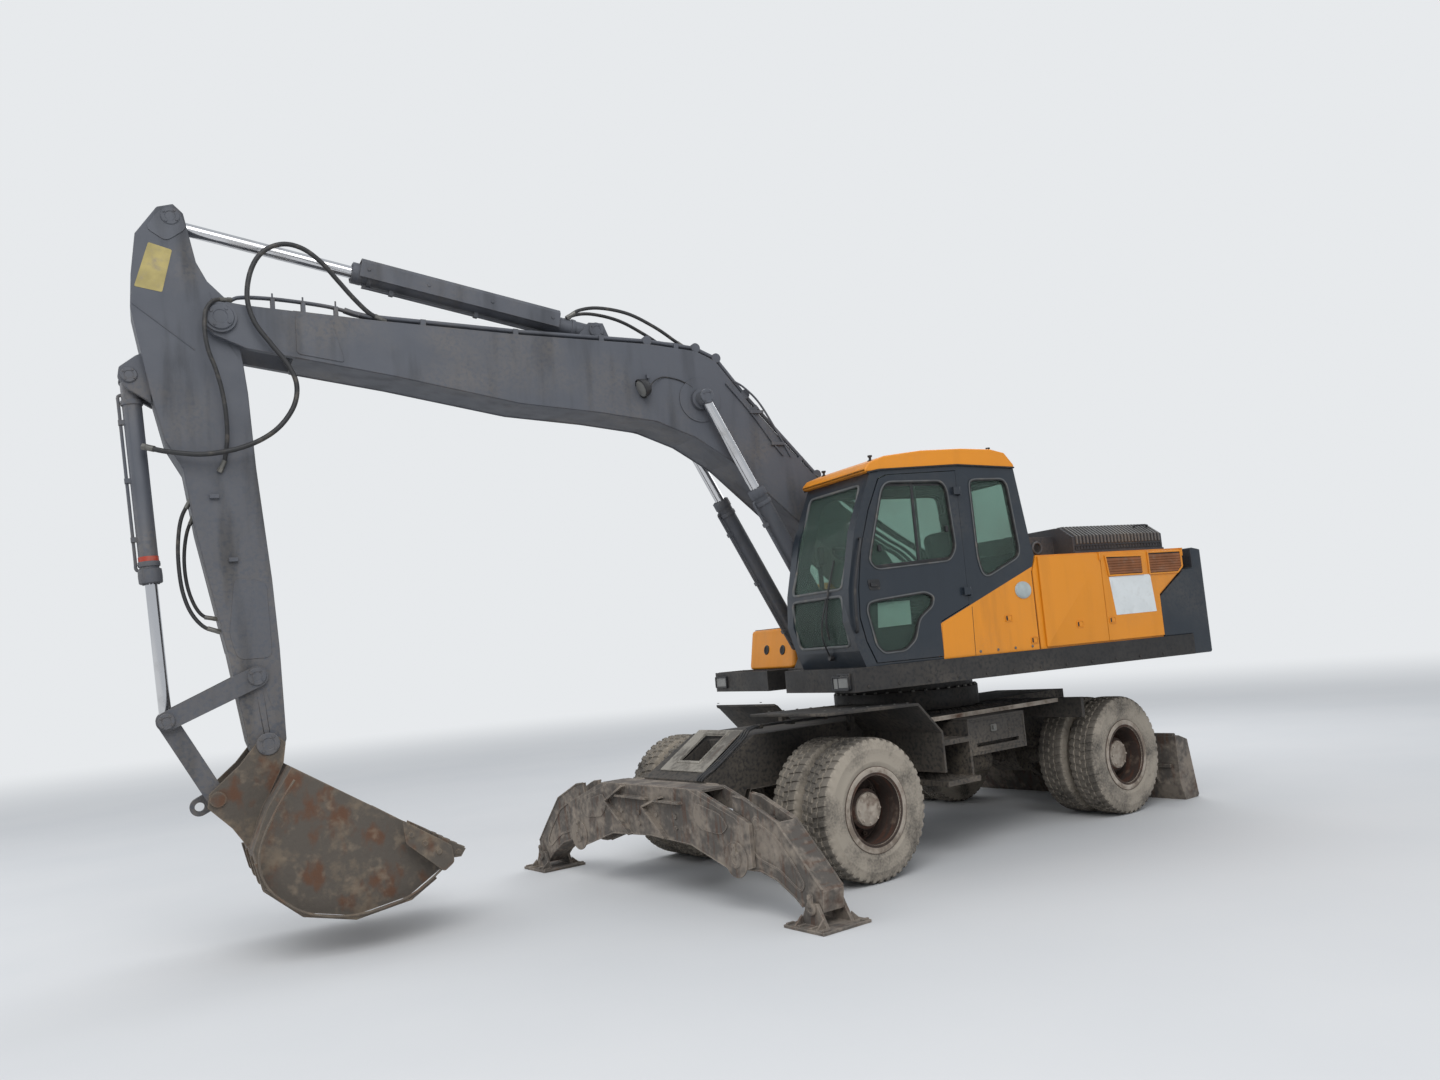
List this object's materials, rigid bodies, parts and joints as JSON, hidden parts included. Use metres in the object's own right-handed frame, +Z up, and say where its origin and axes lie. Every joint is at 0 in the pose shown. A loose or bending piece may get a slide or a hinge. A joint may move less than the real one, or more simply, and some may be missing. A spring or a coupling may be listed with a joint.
{
  "type": "wheeled excavator",
  "caption": "Wheeled excavator: turning cab and engine deck with boom, arm and bucket on twin-tyred axles, with front outriggers and a rear dozer blade.",
  "frame": {"origin": "on the ground under the middle of the whole length, on the chassis centre line", "axes": "+X ahead along the chassis, +Y to its left, which is the cab side, +Z up"},
  "size_m": [8.8127, 3.86, 5.07],
  "materials": {
    "worn_grey_paint": "satin",
    "dark_paint": "satin",
    "orange_paint": "satin",
    "black_paint": "satin",
    "muddy_paint": "matte",
    "rim_paint": "matte",
    "tyre_rubber": "matte",
    "chrome_rod": "polished",
    "worn_steel": "matte",
    "black_plastic": "matte",
    "seat_fabric": "matte"
  },
  "bodies": {
    "chassis": {"chassis_frame": "muddy_paint", "front_beam": "muddy_paint", "slew_ring": "black_paint", "front_axle": "worn_steel", "rear_axle": "worn_steel", "left_step_box": "muddy_paint", "right_step_box": "muddy_paint"},
    "upper": {"upper_frame": "black_paint", "counterweight": "dark_paint", "left_housing": "orange_paint", "right_housing": "orange_paint", "front_box": "orange_paint", "engine_block": "worn_steel", "cab": "dark_paint", "cab_roof": "orange_paint", "seat": "seat_fabric", "console": "black_plastic"},
    "boom": {"boom": "worn_grey_paint", "boom_pipes": "worn_grey_paint"},
    "boom_barrels": {"boom_barrels": "worn_grey_paint"},
    "boom_rods": {"boom_rods": "chrome_rod"},
    "arm": {"arm": "worn_grey_paint"},
    "arm_barrel": {"arm_barrel": "worn_grey_paint"},
    "arm_rod": {"arm_rod": "chrome_rod"},
    "bucket_barrel": {"bucket_barrel": "worn_grey_paint"},
    "bucket_rod": {"bucket_rod": "chrome_rod"},
    "rocker": {"rocker": "worn_grey_paint"},
    "bucket_link": {"bucket_link": "worn_grey_paint"},
    "bucket": {"bucket": "worn_steel"},
    "blade": {"blade": "muddy_paint"},
    "blade_barrels": {"blade_barrels": "muddy_paint"},
    "blade_rods": {"blade_rods": "chrome_rod"},
    "cab_door": {"cab_door": "dark_paint"},
    "service_door_front": {"service_door_front": "orange_paint"},
    "service_door_rear": {"service_door_rear": "orange_paint"},
    "engine_hood": {"engine_hood": "black_paint"},
    "leg_left": {"leg_left": "muddy_paint"},
    "pad_left": {"pad_left": "muddy_paint"},
    "leg_barrel_left": {"leg_barrel_left": "muddy_paint"},
    "leg_rod_left": {"leg_rod_left": "chrome_rod"},
    "knuckle_left": {"knuckle_left": "worn_steel"},
    "wheel_front_left": {"tyres_front_left": "tyre_rubber", "rims_front_left": "rim_paint"},
    "wheel_rear_left": {"tyres_rear_left": "tyre_rubber", "rims_rear_left": "rim_paint"},
    "leg_right": {"leg_right": "muddy_paint"},
    "pad_right": {"pad_right": "muddy_paint"},
    "leg_barrel_right": {"leg_barrel_right": "muddy_paint"},
    "leg_rod_right": {"leg_rod_right": "chrome_rod"},
    "knuckle_right": {"knuckle_right": "worn_steel"},
    "wheel_front_right": {"tyres_front_right": "tyre_rubber", "rims_front_right": "rim_paint"},
    "wheel_rear_right": {"tyres_rear_right": "tyre_rubber", "rims_rear_right": "rim_paint"}
  },
  "joints": [
    {"name": "slew", "type": "hinge", "parent": "chassis", "child": "upper", "pos_m": [-1.69, 0, 1.24], "axis": [0, 0, 1], "continuous": true},
    {"name": "boom_lift", "type": "hinge", "parent": "upper", "child": "boom", "pos_m": [-1.64076, -0.00868, 1.95], "axis": [-0.1736, -0.9848, 0], "range_deg": [-50, 28]},
    {"name": "boom_barrel_turn", "type": "hinge", "parent": "upper", "child": "boom_barrels", "pos_m": [-0.90215, -0.13892, 1.62], "axis": [-0.1736, -0.9848, 0], "range_deg": [-56.04, 32.13]},
    {"name": "boom_rod_slide", "type": "slide", "parent": "boom_barrels", "child": "boom_rods", "axis": [0.4549, -0.0802, 0.8869], "range_m": [-0.6334, 0.3632]},
    {"name": "arm_swing", "type": "hinge", "parent": "boom", "child": "arm", "pos_m": [3.74614, -0.95854, 4.27], "axis": [0.1736, 0.9848, 0], "range_deg": [-65, 38]},
    {"name": "arm_barrel_turn", "type": "hinge", "parent": "boom", "child": "arm_barrel", "pos_m": [1.01822, -0.47753, 4.37], "axis": [-0.1736, -0.9848, 0], "range_deg": [-3.38, 5.66]},
    {"name": "arm_rod_slide", "type": "slide", "parent": "arm_barrel", "child": "arm_rod", "axis": [0.9657, -0.1703, 0.1961], "range_m": [-0.7722, 0.4613]},
    {"name": "bucket_curl", "type": "hinge", "parent": "arm", "child": "bucket", "pos_m": [3.56887, -0.92728, 1.38], "axis": [0.1736, 0.9848, 0], "range_deg": [-90, 60]},
    {"name": "rocker_turn", "type": "hinge", "parent": "arm", "child": "rocker", "pos_m": [3.61811, -0.93596, 1.83], "axis": [0.1736, 0.9848, 0], "range_deg": [-67.95, 46.03]},
    {"name": "link_turn", "type": "hinge", "parent": "rocker", "child": "bucket_link", "pos_m": [4.15779, -1.03112, 1.59], "axis": [0.1736, 0.9848, 0], "range_deg": [-31.53, 46.55]},
    {"name": "bucket_barrel_turn", "type": "hinge", "parent": "arm", "child": "bucket_barrel", "pos_m": [4.2996, -1.05613, 3.887], "axis": [0.1736, 0.9848, 0], "range_deg": [-2.76, 1.87]},
    {"name": "bucket_rod_slide", "type": "slide", "parent": "bucket_barrel", "child": "bucket_rod", "axis": [-0.0616, 0.0109, -0.998], "range_m": [-0.6225, 0.4217]},
    {"name": "leg_lift_left", "type": "hinge", "parent": "chassis", "child": "leg_left", "pos_m": [1.015, 1.04, 0.35], "axis": [1, 0, 0], "range_deg": [-10, 100]},
    {"name": "leg_barrel_turn_left", "type": "hinge", "parent": "chassis", "child": "leg_barrel_left", "pos_m": [1.015, 0.1, 0.7], "axis": [1, 0, 0], "range_deg": [-5.27, 0.63]},
    {"name": "leg_rod_slide_left", "type": "slide", "parent": "leg_barrel_left", "child": "leg_rod_left", "axis": [0, 0.9957, -0.0925], "range_m": [-0.4718, 0.0563]},
    {"name": "pad_tilt_left", "type": "hinge", "parent": "leg_left", "child": "pad_left", "pos_m": [1.015, 1.745, 0.118], "axis": [1, 0, 0], "range_deg": [-20, 20]},
    {"name": "leg_lift_right", "type": "hinge", "parent": "chassis", "child": "leg_right", "pos_m": [1.015, -1.04, 0.35], "axis": [-1, 0, 0], "range_deg": [-10, 100]},
    {"name": "leg_barrel_turn_right", "type": "hinge", "parent": "chassis", "child": "leg_barrel_right", "pos_m": [1.015, -0.1, 0.7], "axis": [-1, 0, 0], "range_deg": [-5.27, 0.63]},
    {"name": "leg_rod_slide_right", "type": "slide", "parent": "leg_barrel_right", "child": "leg_rod_right", "axis": [0, -0.9957, -0.0925], "range_m": [-0.4718, 0.0563]},
    {"name": "pad_tilt_right", "type": "hinge", "parent": "leg_right", "child": "pad_right", "pos_m": [1.015, -1.745, 0.118], "axis": [-1, 0, 0], "range_deg": [-20, 20]},
    {"name": "blade_lift", "type": "hinge", "parent": "chassis", "child": "blade", "pos_m": [-3.48, 0, 0.43], "axis": [0, 1, 0], "range_deg": [-12, 32]},
    {"name": "blade_barrel_turn", "type": "hinge", "parent": "chassis", "child": "blade_barrels", "pos_m": [-3.5, 0, 0.96], "axis": [0, -1, 0], "range_deg": [-7.47, 2.93]},
    {"name": "blade_rod_slide", "type": "slide", "parent": "blade_barrels", "child": "blade_rods", "axis": [-0.4599, 0, -0.888], "range_m": [-0.1607, 0.063]},
    {"name": "steer_left", "type": "hinge", "parent": "chassis", "child": "knuckle_left", "pos_m": [0.01, 0.62, 0.512], "axis": [0, 0, 1], "range_deg": [-27, 27]},
    {"name": "wheel_front_left", "type": "hinge", "parent": "knuckle_left", "child": "wheel_front_left", "pos_m": [0.01, 0.9575, 0.512], "axis": [0, 1, 0], "continuous": true},
    {"name": "wheel_rear_left", "type": "hinge", "parent": "chassis", "child": "wheel_rear_left", "pos_m": [-3.09, 0.9575, 0.512], "axis": [0, 1, 0], "continuous": true},
    {"name": "steer_right", "type": "hinge", "parent": "chassis", "child": "knuckle_right", "pos_m": [0.01, -0.62, 0.512], "axis": [0, 0, 1], "range_deg": [-28, 28]},
    {"name": "wheel_front_right", "type": "hinge", "parent": "knuckle_right", "child": "wheel_front_right", "pos_m": [0.01, -0.9575, 0.512], "axis": [0, 1, 0], "continuous": true},
    {"name": "wheel_rear_right", "type": "hinge", "parent": "chassis", "child": "wheel_rear_right", "pos_m": [-3.09, -0.9575, 0.512], "axis": [0, 1, 0], "continuous": true},
    {"name": "cab_door_swing", "type": "hinge", "parent": "upper", "child": "cab_door", "pos_m": [-1.20248, 1.28486, 2.2], "axis": [0, 0, 1], "range_deg": [0, 165]},
    {"name": "service_door_front_swing", "type": "hinge", "parent": "upper", "child": "service_door_front", "pos_m": [-2.61098, 1.52611, 1.9], "axis": [0, 0, 1], "range_deg": [0, 110]},
    {"name": "service_door_rear_swing", "type": "hinge", "parent": "upper", "child": "service_door_rear", "pos_m": [-3.59579, 1.69976, 2.2], "axis": [0, 0, 1], "range_deg": [0, 110]},
    {"name": "hood_lift", "type": "hinge", "parent": "upper", "child": "engine_hood", "pos_m": [-2.48966, 0.141, 2.2983], "axis": [0.1736, 0.9848, 0], "range_deg": [0, 55]}
  ],
  "couplings": [
    {"joint": "boom_barrel_turn", "follows": "boom_lift", "ratio": 1.0868},
    {"joint": "boom_rod_slide", "follows": "boom_lift", "m_per_rad": 0.7039},
    {"joint": "arm_barrel_turn", "follows": "arm_swing", "ratio": -0.0844},
    {"joint": "arm_rod_slide", "follows": "arm_swing", "m_per_rad": 0.6598},
    {"joint": "rocker_turn", "follows": "bucket_curl", "ratio": 0.7306},
    {"joint": "link_turn", "follows": "bucket_curl", "ratio": -0.5005},
    {"joint": "bucket_barrel_turn", "follows": "bucket_curl", "ratio": 0.0297},
    {"joint": "bucket_rod_slide", "follows": "bucket_curl", "m_per_rad": 0.3835},
    {"joint": "leg_barrel_turn_left", "follows": "leg_lift_left", "ratio": -0.0516},
    {"joint": "leg_rod_slide_left", "follows": "leg_lift_left", "m_per_rad": -0.2645},
    {"joint": "leg_barrel_turn_right", "follows": "leg_lift_right", "ratio": -0.0516},
    {"joint": "leg_rod_slide_right", "follows": "leg_lift_right", "m_per_rad": -0.2645},
    {"joint": "blade_barrel_turn", "follows": "blade_lift", "ratio": -0.2272},
    {"joint": "blade_rod_slide", "follows": "blade_lift", "m_per_rad": -0.2801},
    {"joint": "steer_right", "follows": "steer_left", "ratio": 1}
  ]
}
